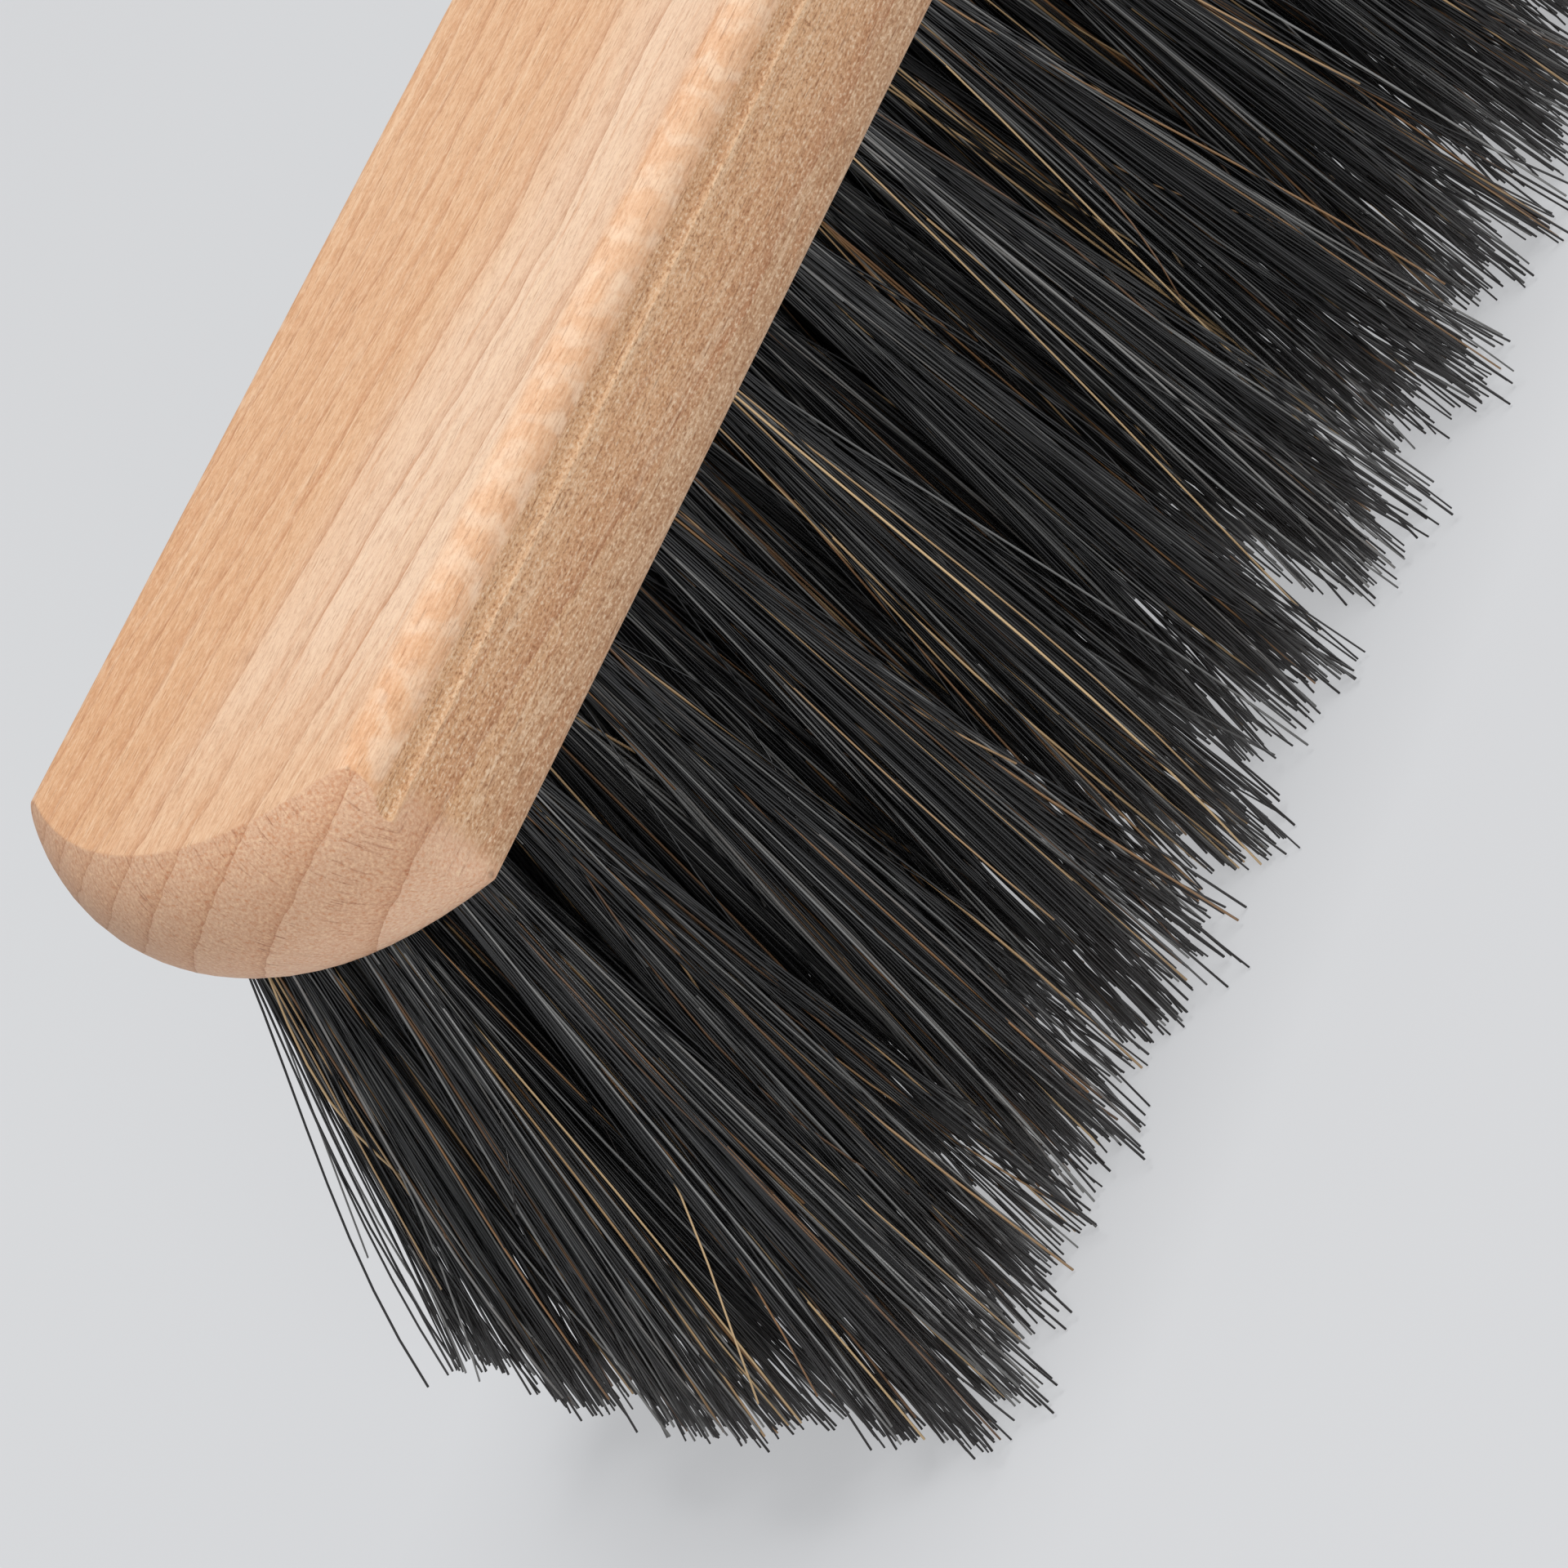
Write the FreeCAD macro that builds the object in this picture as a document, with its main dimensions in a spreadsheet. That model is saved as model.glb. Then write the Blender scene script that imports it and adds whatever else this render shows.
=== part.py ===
import FreeCAD, Part
import math
import os
import Sketcher
from FreeCAD import Placement, Rotation, Vector

# A hand broom: a beech head and handle in one piece, filled with tufts of hair that are folded over flat wire
# anchors in blind holes. It stands on the bristle tips, +Z up, with the nose towards -X and the handle
# towards +X. Lengths are in millimetres and angles in degrees.
SIZES = {
    # head, measured from the top edge of the nose
    "head_length": 155.0,
    "head_width": 42.2,
    "head_thickness": 15.8,
    "nose_radius": 30.0,
    "rear_radius": 26.0,
    "end_bulge": 3.3,
    "ridge_drop": 4.9,
    "side_taper": 5.2,
    "flute_inset": 0.3,
    "flute_radius": 1.8,
    "roll_radius": 3.0,
    "base_round": 0.8,
    # handle, measured from the rear of the head
    "handle_length": 125.0,
    "handle_thickness": 14.2,
    "handle_round": 6.2,
    "handle_root": 14.0,
    "neck_reach": 26.0,
    "neck_width": 22.0,
    "neck_curve": 150.0,
    "grip_reach": 80.0,
    "grip_swell": 2.6,
    "hang_hole_diameter": 8.0,
    "hang_hole_inset": 14.0,
    "hang_hole_bevel": 0.8,
    # bristle filling
    "bristle_length": 58.0,
    "tuft_diameter": 5.0,
    "tuft_clearance": 0.1,
    "tuft_collar": 0.6,
    "hole_depth": 10.5,
    "edge_margin": 6.5,
    "inner_row_offset": 5.0,
    "nose_margin": 5.4,
    "nose_step_angle": 22.0,
    "row_start": 16.4,
    "inner_row_start": 15.0,
    "row_end_margin": 14.6,
    "tip_gap": 0.6,
    "row_splay": 6.3,
    "row_fan": 7.8,
    "nose_splay": 15.5,
    # slanted cut across the nose tips
    "trim_start": 0.8,
    "trim_slope": 47.8,
    "trim_skew": 9.5,
    # wire anchors
    "anchor_width": 1.8,
    "anchor_thickness": 0.45,
    "anchor_bite": 0.6,
    "anchor_fold": 1.2,
}
TUFTS_PER_ROW = 11
NOSE_TUFTS = 4
TUFT_SIDES = 10
CUT_MARGIN = 3.0
CUT_REACH = 60.0
CUT_BOX = 400.0

doc = FreeCAD.newDocument("hand_broom")
sheet = doc.addObject("Spreadsheet::Sheet", "sizes")
for row, (name, value) in enumerate(SIZES.items(), start=1):
    sheet.set("A%d" % row, name)
    sheet.set("B%d" % row, str(value))
    sheet.setAlias("B%d" % row, name)
doc.recompute()


def size(name):
    """Read one driving dimension from the sheet."""
    return float(getattr(sheet, name))


def tangent(name):
    """Sideways travel per unit of drop for one of the angles in the sheet."""
    return math.tan(math.radians(size(name)))


def new_sketch(body, name, role):
    """Start a sketch on one of the body's own origin planes."""
    sketch = body.newObject("Sketcher::SketchObject", name)
    plane = [item for item in body.Origin.OriginFeatures if item.Role == role][0]
    sketch.AttachmentSupport = [(plane, "")]
    sketch.MapMode = "FlatFace"
    return sketch


def constrain(sketch, *items):
    """Add constraints without a dimension."""
    for item in items:
        sketch.addConstraint(Sketcher.Constraint(*item))


def dimension(sketch, name, kind, elements, value, formula):
    """Add a dimension and bind it to the sheet."""
    index = sketch.addConstraint(Sketcher.Constraint(kind, *elements, value))
    sketch.renameConstraint(index, name)
    sketch.setExpression("Constraints." + name, formula)


def line(start, end):
    return Part.LineSegment(Vector(*start, 0), Vector(*end, 0))


def arc(centre, radius, first, last):
    """Arc from one angle to another, anticlockwise."""
    circle = Part.Circle(Vector(*centre, 0), Vector(0, 0, 1), radius)
    return Part.ArcOfCircle(circle, math.radians(first), math.radians(last))


def arc_between(start, end, radius):
    """Arc of under half a turn, anticlockwise from start to end."""
    half = Vector(end[0] - start[0], end[1] - start[1], 0) * 0.5
    height = math.sqrt(radius ** 2 - half.Length ** 2)
    normal = Vector(-half.y, half.x, 0).normalize()
    centre = Vector(start[0], start[1], 0) + half + normal * height
    first = math.degrees(math.atan2(start[1] - centre.y, start[0] - centre.x))
    last = math.degrees(math.atan2(end[1] - centre.y, end[0] - centre.x))
    return arc((centre.x, centre.y), radius, first, last if last > first else last + 360)


def head_section(body):
    """Half of the head's section: eased lower edge, tapered side, ridge, hollow flute and rolled top edge."""
    half = size("head_width") / 2
    top = size("head_thickness")
    base = size("base_round")
    roll = size("roll_radius")
    taper = math.radians(size("side_taper"))
    ridge = (half, top - size("ridge_drop"))
    flute_top = (half - size("flute_inset"), top - roll)
    roll_centre = (flute_top[0] - roll, top - roll)
    # the lower edge's arc touches the underside and the tapered side
    corner = half - ridge[1] * math.tan(taper)
    touch = base / math.tan((math.pi / 2 + taper) / 2)
    side_foot = (corner + touch * math.sin(taper), touch * math.cos(taper))
    sketch = new_sketch(body, "head_section", "YZ_Plane")
    sketch.addGeometry([
        line((0, 0), (corner - touch, 0)),
        arc((corner - touch, base), base, -90, -size("side_taper")),
        line(side_foot, ridge),
        arc_between(flute_top, ridge, size("flute_radius")),
        arc(roll_centre, roll, 0, 90),
        line((roll_centre[0], top), (0, top)),
        line((0, top), (0, 0)),
    ], False)
    constrain(
        sketch,
        ("Coincident", 0, 1, -1, 1), ("Tangent", 0, 2, 1, 1), ("Tangent", 1, 2, 2, 1),
        ("Coincident", 2, 2, 3, 2), ("Coincident", 3, 1, 4, 1), ("Tangent", 4, 2, 5, 1),
        ("Coincident", 5, 2, 6, 1), ("Coincident", 6, 2, 0, 1), ("Horizontal", 0),
        ("Horizontal", 5), ("Vertical", 6), ("Horizontal", 4, 3, 4, 1),
    )
    dimension(sketch, "half_width", "DistanceX", (-1, 1, 2, 2), half, "sizes.head_width / 2")
    dimension(sketch, "thickness", "DistanceY", (-1, 1, 5, 1), top, "sizes.head_thickness")
    dimension(sketch, "ridge_drop", "DistanceY", (2, 2, 5, 1), size("ridge_drop"), "sizes.ridge_drop")
    dimension(sketch, "side_lean", "Angle", (2,), math.pi / 2 - taper, "90 deg - sizes.side_taper * 1 deg")
    dimension(sketch, "inset", "DistanceX", (3, 1, 2, 2), size("flute_inset"), "sizes.flute_inset")
    dimension(sketch, "base_round", "Radius", (1,), base, "sizes.base_round")
    dimension(sketch, "roll", "Radius", (4,), roll, "sizes.roll_radius")
    dimension(sketch, "flute", "Radius", (3,), size("flute_radius"), "sizes.flute_radius")
    return sketch


def end_profile(body, name, outward, edge, edge_formula, radius_name):
    """Waste outside one end of the head: a bulging end face, swept about an upright axis inside the head.

    outward is -1 for the nose and 1 for the rear, and edge is where the end face meets top and bottom.
    """
    top = size("head_thickness")
    bulge = size("end_bulge")
    radius = ((top / 2) ** 2 + bulge ** 2) / (2 * bulge)
    axis = edge - outward * size(radius_name)
    far = edge + outward * CUT_REACH
    low, high = -CUT_MARGIN, top + CUT_MARGIN
    if outward < 0:
        face = arc_between((edge, top), (edge, 0), radius)
        face_ends = ("first", "last")
    else:
        face = arc_between((edge, 0), (edge, top), radius)
        face_ends = ("last", "first")
    sketch = new_sketch(body, name, "XZ_Plane")
    sketch.addGeometry([
        line((edge, high), (edge, top)),
        face,
        line((edge, 0), (edge, low)),
        line((edge, low), (far, low)),
        line((far, low), (far, high)),
        line((far, high), (edge, high)),
    ], False)
    sketch.addGeometry(line((axis, 0), (axis, top)), True)
    face_top, face_foot = [1 if end == "first" else 2 for end in face_ends]
    constrain(
        sketch,
        ("Coincident", 0, 2, 1, face_top), ("Coincident", 1, face_foot, 2, 1), ("Coincident", 2, 2, 3, 1),
        ("Coincident", 3, 2, 4, 1), ("Coincident", 4, 2, 5, 1), ("Coincident", 5, 2, 0, 1),
        ("Vertical", 0), ("Vertical", 2), ("Vertical", 4), ("Horizontal", 3), ("Horizontal", 5),
        ("PointOnObject", 2, 1, -1), ("Vertical", 0, 2, 2, 1), ("Vertical", 6), ("PointOnObject", 6, 1, -1),
    )
    if edge_formula:
        dimension(sketch, "edge", "DistanceX", (-1, 1, 2, 1), edge, edge_formula)
    else:
        constrain(sketch, ("PointOnObject", 2, 1, -2))
    inner_outer = (6, 1, 2, 1) if outward > 0 else (2, 1, 6, 1)
    edge_far = (2, 2, 3, 2) if outward > 0 else (3, 2, 2, 2)
    dimension(sketch, "thickness", "DistanceY", (2, 1, 0, 2), top, "sizes.head_thickness")
    dimension(sketch, "face", "Radius", (1,), radius,
              "((sizes.head_thickness / 2) ^ 2 + sizes.end_bulge ^ 2) / (2 * sizes.end_bulge)")
    dimension(sketch, "plan_radius", "DistanceX", inner_outer, size(radius_name), "sizes." + radius_name)
    dimension(sketch, "axis_height", "DistanceY", (6, 1, 6, 2), top, "sizes.head_thickness")
    sketch.addConstraint(Sketcher.Constraint("DistanceY", 2, 2, 2, 1, CUT_MARGIN))
    sketch.addConstraint(Sketcher.Constraint("DistanceY", 0, 2, 0, 1, CUT_MARGIN))
    sketch.addConstraint(Sketcher.Constraint("DistanceX", *edge_far, CUT_REACH))
    return sketch


def round_end(body, name, outward, edge, edge_formula, radius_name):
    """Cut one end of the head to its curved plan and bulging face."""
    sketch = end_profile(body, name + "_profile", outward, edge, edge_formula, radius_name)
    doc.recompute()
    before = body.Shape.Volume
    groove = body.newObject("PartDesign::Groove", name)
    groove.Profile = sketch
    groove.ReferenceAxis = (sketch, ["Axis0"])
    groove.Midplane = True
    half_turn = math.degrees(math.asin(size("head_width") / 2 / size(radius_name)))
    groove.Angle = 2 * (half_turn + CUT_MARGIN * 3)
    doc.recompute()
    if body.Shape.Volume >= before:
        raise RuntimeError(name + " removed nothing")


def handle_outline(body):
    """Half of the handle's plan: drawn in at the neck, fuller at the grip, with a round end."""
    rear = size("head_length")
    root, tip = rear - size("handle_root"), rear + size("handle_length")
    neck_x, neck_half, neck_curve = rear + size("neck_reach"), size("neck_width") / 2, size("neck_curve")
    grip_x, grip_half = rear + size("grip_reach"), neck_half + size("grip_swell")
    span, swell = grip_x - neck_x, size("grip_swell")
    grip_curve = (span ** 2 + swell ** 2) / (2 * swell) - neck_curve
    # the end arc stands square on the centre line and touches the grip's arc
    reach, centre_y = tip - grip_x, grip_half - grip_curve
    end_radius = (grip_curve ** 2 - reach ** 2 - centre_y ** 2) / (2 * (grip_curve - reach))
    meet = neck_curve / (neck_curve + grip_curve)
    neck_grip = (neck_x + span * meet, neck_half + neck_curve + (centre_y - neck_half - neck_curve) * meet)
    turn = math.atan2(-centre_y, tip - end_radius - grip_x)
    grip_end = (grip_x + grip_curve * math.cos(turn), centre_y + grip_curve * math.sin(turn))
    root_half = neck_half + neck_curve - math.sqrt(neck_curve ** 2 - (neck_x - root) ** 2)
    sketch = new_sketch(body, "handle_outline", "XY_Plane")
    sketch.setExpression("AttachmentOffset.Base.z", "(sizes.head_thickness - sizes.handle_thickness) / 2")
    sketch.addGeometry([
        line((root, 0), (tip, 0)),
        arc((tip - end_radius, 0), end_radius, 0, math.degrees(turn)),
        arc_between(grip_end, neck_grip, grip_curve),
        arc_between((root, root_half), neck_grip, neck_curve),
        line((root, root_half), (root, 0)),
    ], False)
    constrain(
        sketch,
        ("PointOnObject", 0, 1, -1), ("PointOnObject", 0, 2, -1), ("Coincident", 0, 2, 1, 1),
        ("PointOnObject", 1, 3, -1), ("Tangent", 1, 2, 2, 1), ("Tangent", 2, 2, 3, 2),
        ("Coincident", 3, 1, 4, 1), ("Coincident", 4, 2, 0, 1), ("Vertical", 4),
    )
    dimension(sketch, "root", "DistanceX", (-1, 1, 0, 1), root, "sizes.head_length - sizes.handle_root")
    dimension(sketch, "tip", "DistanceX", (-1, 1, 0, 2), tip, "sizes.head_length + sizes.handle_length")
    dimension(sketch, "neck_x", "DistanceX", (-1, 1, 3, 3), neck_x, "sizes.head_length + sizes.neck_reach")
    dimension(sketch, "neck_y", "DistanceY", (-1, 1, 3, 3), neck_half + neck_curve,
              "sizes.neck_width / 2 + sizes.neck_curve")
    dimension(sketch, "neck_curve", "Radius", (3,), neck_curve, "sizes.neck_curve")
    dimension(sketch, "grip_x", "DistanceX", (-1, 1, 2, 3), grip_x, "sizes.head_length + sizes.grip_reach")
    dimension(sketch, "grip_curve", "Radius", (2,), grip_curve,
              "((sizes.grip_reach - sizes.neck_reach) ^ 2 + sizes.grip_swell ^ 2) / (2 * sizes.grip_swell)"
              " - sizes.neck_curve")
    return sketch


def make_handle():
    """Handle, rounded all round its outline, with its root inside the head."""
    body = doc.addObject("PartDesign::Body", "handle")
    pad = body.newObject("PartDesign::Pad", "half_handle")
    pad.Profile = handle_outline(body)
    pad.setExpression("Length", "sizes.handle_thickness")
    doc.recompute()
    mirror = mirrored(body, "handle_both", pad)
    flats = [face for face in mirror.Shape.Faces if abs(face.normalAt(0, 0).z) > 0.5]
    edges = [edge for face in flats for edge in face.Edges if not isinstance(edge.Curve, Part.Line)]
    dress_edges(body, "Fillet", "handle_edges", edges, "Radius", "sizes.handle_round")
    drill_hang_hole(body)
    body.Placement = Placement(Vector(0, 0, size("bristle_length")), Rotation())
    return body


def mirrored(body, name, feature):
    """Mirror a half across the broom's middle plane."""
    mirror = body.newObject("PartDesign::Mirrored", name)
    mirror.Originals = [feature]
    mirror.MirrorPlane = ([item for item in body.Origin.OriginFeatures if item.Role == "XZ_Plane"][0], [""])
    mirror.Refine = True
    body.Tip = mirror
    doc.recompute()
    return mirror


def dress_edges(body, kind, name, edges, measure, formula):
    """Fillet or chamfer the given edges of the body's last feature."""
    feature = body.Tip
    names = ["Edge%d" % (index + 1) for index, edge in enumerate(feature.Shape.Edges)
             if any(edge.isSame(wanted) for wanted in edges)]
    dressed = body.newObject("PartDesign::" + kind, name)
    dressed.Base = (feature, names)
    dressed.setExpression(measure, formula)
    doc.recompute()


def drill_hang_hole(body):
    """Hanging hole through the end of the handle, with bevelled rims."""
    sketch = new_sketch(body, "hang_hole_circle", "XY_Plane")
    x = size("head_length") + size("handle_length") - size("hang_hole_inset")
    sketch.addGeometry(Part.Circle(Vector(x, 0, 0), Vector(0, 0, 1), size("hang_hole_diameter") / 2), False)
    constrain(sketch, ("PointOnObject", 0, 3, -1))
    dimension(sketch, "place", "DistanceX", (-1, 1, 0, 3), x,
              "sizes.head_length + sizes.handle_length - sizes.hang_hole_inset")
    dimension(sketch, "bore", "Diameter", (0,), size("hang_hole_diameter"), "sizes.hang_hole_diameter")
    doc.recompute()
    before = body.Shape.Volume
    pocket = body.newObject("PartDesign::Pocket", "hang_hole")
    pocket.Profile = sketch
    pocket.Type = "ThroughAll"
    pocket.Reversed = True
    doc.recompute()
    if body.Shape.Volume >= before:
        raise RuntimeError("the hanging hole removed nothing")
    wall = [face for face in pocket.Shape.Faces if isinstance(face.Surface, Part.Cylinder)
            and abs(face.Surface.Radius * 2 - size("hang_hole_diameter")) < 1e-6
            and abs(face.Surface.Center.x - x) < 1e-6]
    rims = [edge for face in wall for edge in face.Edges if not isinstance(edge.Curve, Part.Line)]
    dress_edges(body, "Chamfer", "hang_hole_rims", rims, "Size", "sizes.hang_hole_bevel")


def make_head():
    """Head without its tuft holes. Its own zero height is the underside."""
    body = doc.addObject("PartDesign::Body", "head")
    section = head_section(body)
    section.setExpression("AttachmentOffset.Base.z", "-sizes.end_bulge")
    pad = body.newObject("PartDesign::Pad", "half_head")
    pad.Profile = section
    pad.setExpression("Length", "sizes.head_length + 2 * sizes.end_bulge")
    doc.recompute()
    mirrored(body, "head_both", pad)
    round_end(body, "nose", -1, 0.0, "", "nose_radius")
    round_end(body, "rear", 1, size("head_length"), "sizes.head_length", "rear_radius")
    body.Placement = Placement(Vector(0, 0, size("bristle_length")), Rotation())
    return body


def tuft_sites():
    """Name, hole mouth and sideways lean per unit of drop of every tuft."""
    sites = []
    ring = size("nose_radius") - size("nose_margin")
    for index in range(NOSE_TUFTS):
        turn = math.radians((index - (NOSE_TUFTS - 1) / 2) * size("nose_step_angle"))
        mouth = (size("nose_radius") - ring * math.cos(turn), ring * math.sin(turn))
        lean = (-tangent("nose_splay") * math.cos(turn), tangent("nose_splay") * math.sin(turn))
        sites.append(("tuft_nose_%d" % (index + 1), mouth, lean))
    outer = size("head_width") / 2 - size("edge_margin")
    middle = size("row_start") + row_pitch() * (TUFTS_PER_ROW - 1) / 2
    inner = size("inner_row_offset")
    rows = (("left_outer", -outer, "row_start"), ("left_inner", -inner, "inner_row_start"),
            ("right_inner", inner, "inner_row_start"), ("right_outer", outer, "row_start"))
    for row, y, start in rows:
        for index in range(TUFTS_PER_ROW):
            x = size(start) + row_pitch() * index
            fan = tangent("row_fan") * (x - middle) / (middle - size("row_start"))
            sites.append(("tuft_%s_%02d" % (row, index + 1), (x, y), (fan, tangent("row_splay") * y / outer)))
    return sites


def row_pitch():
    """Distance between tufts along a row."""
    return (size("head_length") - size("row_start") - size("row_end_margin")) / (TUFTS_PER_ROW - 1)


def hole_frame(mouth, lean):
    """Placement at a hole's mouth, with +Z along the hole into the wood."""
    into_wood = Vector(-lean[0], -lean[1], 1)
    return Placement(Vector(mouth[0], mouth[1], size("bristle_length")), Rotation(Vector(0, 0, 1), into_wood))


def make_hole(name, frame):
    """Cutter for one blind hole, a little wider than its tuft and with as many sides."""
    hole = doc.addObject("Part::Prism", name + "_hole")
    hole.Polygon = TUFT_SIDES
    hole.setExpression("Circumradius", "sizes.tuft_diameter / 2 + sizes.tuft_clearance")
    hole.setExpression("Height", "sizes.hole_depth + %g" % CUT_MARGIN)
    hole.Placement = frame * Placement(Vector(0, 0, -CUT_MARGIN), Rotation())
    return hole


def make_anchor(name, frame):
    """Flat wire across the hole, below the fold of the hair, with both ends in the wood."""
    length = size("tuft_diameter") + 2 * (size("tuft_clearance") + size("anchor_bite"))
    foot = size("hole_depth") - size("anchor_fold") - size("anchor_width")
    wire = doc.addObject("Part::Box", name + "_anchor")
    wire.setExpression("Length", "sizes.tuft_diameter + 2 * (sizes.tuft_clearance + sizes.anchor_bite)")
    wire.setExpression("Width", "sizes.anchor_thickness")
    wire.setExpression("Height", "sizes.anchor_width")
    wire.Placement = frame * Placement(Vector(-length / 2, -size("anchor_thickness") / 2, foot), Rotation())
    return wire


def outline(name, radius, height):
    """One many-sided section across a tuft, at a height along its hole from the mouth."""
    polygon = doc.addObject("Part::RegularPolygon", name)
    polygon.Polygon = TUFT_SIDES
    polygon.setExpression("Circumradius", radius)
    polygon.Placement = Placement(Vector(0, 0, height), Rotation())
    return polygon


def tip_centre(mouth, lean):
    """Middle of a tuft's tips, on the surface that the broom stands on."""
    drop = size("bristle_length")
    return Vector(mouth[0] + lean[0] * drop, mouth[1] + lean[1] * drop, 0)


def make_tuft(name, frame, reach, spread, cuts):
    """Tuft: straight in its hole, then spreading towards the tips, less the cuts.

    reach is the free length along the tuft and spread the width at that length.
    """
    collar = size("tuft_collar")
    stretch = (reach + CUT_MARGIN - collar) / (reach - collar)
    root = "sizes.tuft_diameter / 2"
    end = "%s + ((%.6f - sizes.tip_gap) / 2 - %s) * %.6f" % (root, spread, root, stretch)
    places = (("fold", root, size("hole_depth")), ("collar", root, -collar),
              ("end", end, -reach - CUT_MARGIN))
    hair = doc.addObject("Part::Loft", name + "_hair")
    hair.Sections = [outline("%s_%s" % (name, part), radius, height) for part, radius, height in places]
    hair.Solid = True
    hair.Ruled = True
    hair.Linearize = True
    hair.Placement = frame
    for number, waste in enumerate(cuts[:-1], start=1):
        hair = subtract("%s_cut_%d" % (name, number), hair, waste)
    return subtract(name, hair, cuts[-1])


def subtract(name, base, tool):
    cut = doc.addObject("Part::Cut", name)
    cut.Base = base
    cut.Tool = tool
    return cut


def waste_below(name, point, kept_side):
    """Waste on the far side of a plane across the tips."""
    box = doc.addObject("Part::Box", name)
    box.Length = box.Width = box.Height = CUT_BOX
    tilt = Placement(point, Rotation(Vector(0, 0, 1), kept_side))
    box.Placement = tilt * Placement(Vector(-CUT_BOX / 2, -CUT_BOX / 2, -CUT_BOX), Rotation())
    return box


def make_trims():
    """The level cut that the broom stands on, and the slanted cut across the nose tips."""
    slope, skew = math.radians(size("trim_slope")), math.radians(size("trim_skew"))
    slant = Vector(math.sin(slope) * math.cos(skew), -math.sin(skew), math.cos(slope) * math.cos(skew))
    level = waste_below("level_trim", Vector(size("head_length") / 2, 0, 0), Vector(0, 0, 1))
    return level, waste_below("nose_trim", Vector(size("trim_start"), 0, 0), slant)


def group(name, members):
    compound = doc.addObject("Part::Compound", name)
    compound.Links = members
    return compound


def check(objects):
    """Stop if any feature failed, or a piece is empty or not valid."""
    for item in doc.Objects:
        if "Invalid" in item.State or "Error" in item.State:
            raise RuntimeError("%s failed: %s" % (item.Label, item.State))
    for item in objects:
        if item.Shape.isNull() or not item.Shape.isValid() or not item.Shape.Solids:
            raise RuntimeError(item.Label + " has no valid solid")


def make_filling():
    """Every hole cutter, wire and tuft. A tuft spreads until its tips nearly meet its nearest neighbour's."""
    holes, wires, tufts = [], [], []
    level, slant = make_trims()
    sites = tuft_sites()
    tips = [tip_centre(mouth, lean) for name, mouth, lean in sites]
    for (name, mouth, lean), tip in zip(sites, tips):
        spread = min(tip.distanceToPoint(other) for other in tips if other is not tip)
        frame = hole_frame(mouth, lean)
        holes.append(make_hole(name, frame))
        wires.append(make_anchor(name, frame))
        slanted = "nose" in name or name.endswith("outer_01")
        cuts = [wires[-1], level] + ([slant] if slanted else [])
        tufts.append(make_tuft(name, frame, frame.Base.distanceToPoint(tip), spread, cuts))
    return holes, wires, tufts


def centre_on_origin(pieces):
    """Bring the middle of the whole broom over the origin, on the surface that the tips stand on."""
    boxes = [piece.Shape.optimalBoundingBox(False, False) for piece in pieces]
    low = min(box.XMin for box in boxes)
    high = max(box.XMax for box in boxes)
    for piece in pieces:
        piece.Placement = Placement(Vector(-(low + high) / 2, 0, 0), Rotation())
    print("shift %.3f, length %.3f" % (-(low + high) / 2, high - low))


def main():
    holes, wires, tufts = make_filling()
    wood = doc.addObject("Part::Fuse", "blank")
    wood.Base = make_head()
    wood.Tool = make_handle()
    wood.Refine = True
    wood = subtract("wood_body", wood, group("drilling", holes + wires))
    pieces = [wood, group("wire_anchors", wires)] + tufts
    doc.recompute()
    check(pieces)
    centre_on_origin(pieces)
    doc.recompute()
    check(pieces)
    os.makedirs("parts", exist_ok=True)
    for piece in pieces:
        piece.Shape.exportStep("parts/%s.step" % piece.Label)


main()
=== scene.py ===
import math
from types import SimpleNamespace

import bpy
import numpy as np
from mathutils import Matrix, Vector


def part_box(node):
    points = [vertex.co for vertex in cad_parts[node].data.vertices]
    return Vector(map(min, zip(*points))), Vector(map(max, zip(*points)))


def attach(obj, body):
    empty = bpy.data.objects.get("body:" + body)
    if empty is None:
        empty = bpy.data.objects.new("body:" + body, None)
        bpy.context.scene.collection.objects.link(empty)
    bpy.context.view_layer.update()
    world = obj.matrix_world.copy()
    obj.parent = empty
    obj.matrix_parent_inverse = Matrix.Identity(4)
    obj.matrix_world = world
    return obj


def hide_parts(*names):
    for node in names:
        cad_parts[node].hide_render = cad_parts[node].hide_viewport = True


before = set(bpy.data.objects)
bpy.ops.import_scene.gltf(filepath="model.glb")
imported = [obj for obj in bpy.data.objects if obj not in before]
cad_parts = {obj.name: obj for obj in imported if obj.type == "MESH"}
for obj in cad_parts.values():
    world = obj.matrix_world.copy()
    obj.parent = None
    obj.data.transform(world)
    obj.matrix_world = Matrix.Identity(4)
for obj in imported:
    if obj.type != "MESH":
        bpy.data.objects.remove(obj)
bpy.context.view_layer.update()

# Lengths are in metres in the part's frame: the broom stands on its tips at z = 0, nose towards -X.
MM = 0.001
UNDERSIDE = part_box("wood_body")[0].z
HEAD_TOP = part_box("wood_body")[1].z
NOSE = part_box("wood_body")[0].x

# The photograph's camera: direction from the broom, turn about its own line of sight, and a square picture.
CAMERA_AIM = Vector((-110.535, -30.734, 46.283)) * MM
CAMERA_DISTANCE = 653.8 * MM
CAMERA_AZIMUTH = math.radians(-28.357)
CAMERA_ELEVATION = math.radians(30.563)
CAMERA_ROLL = math.radians(-48.842)
CAMERA_LENS = 204.9

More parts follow.
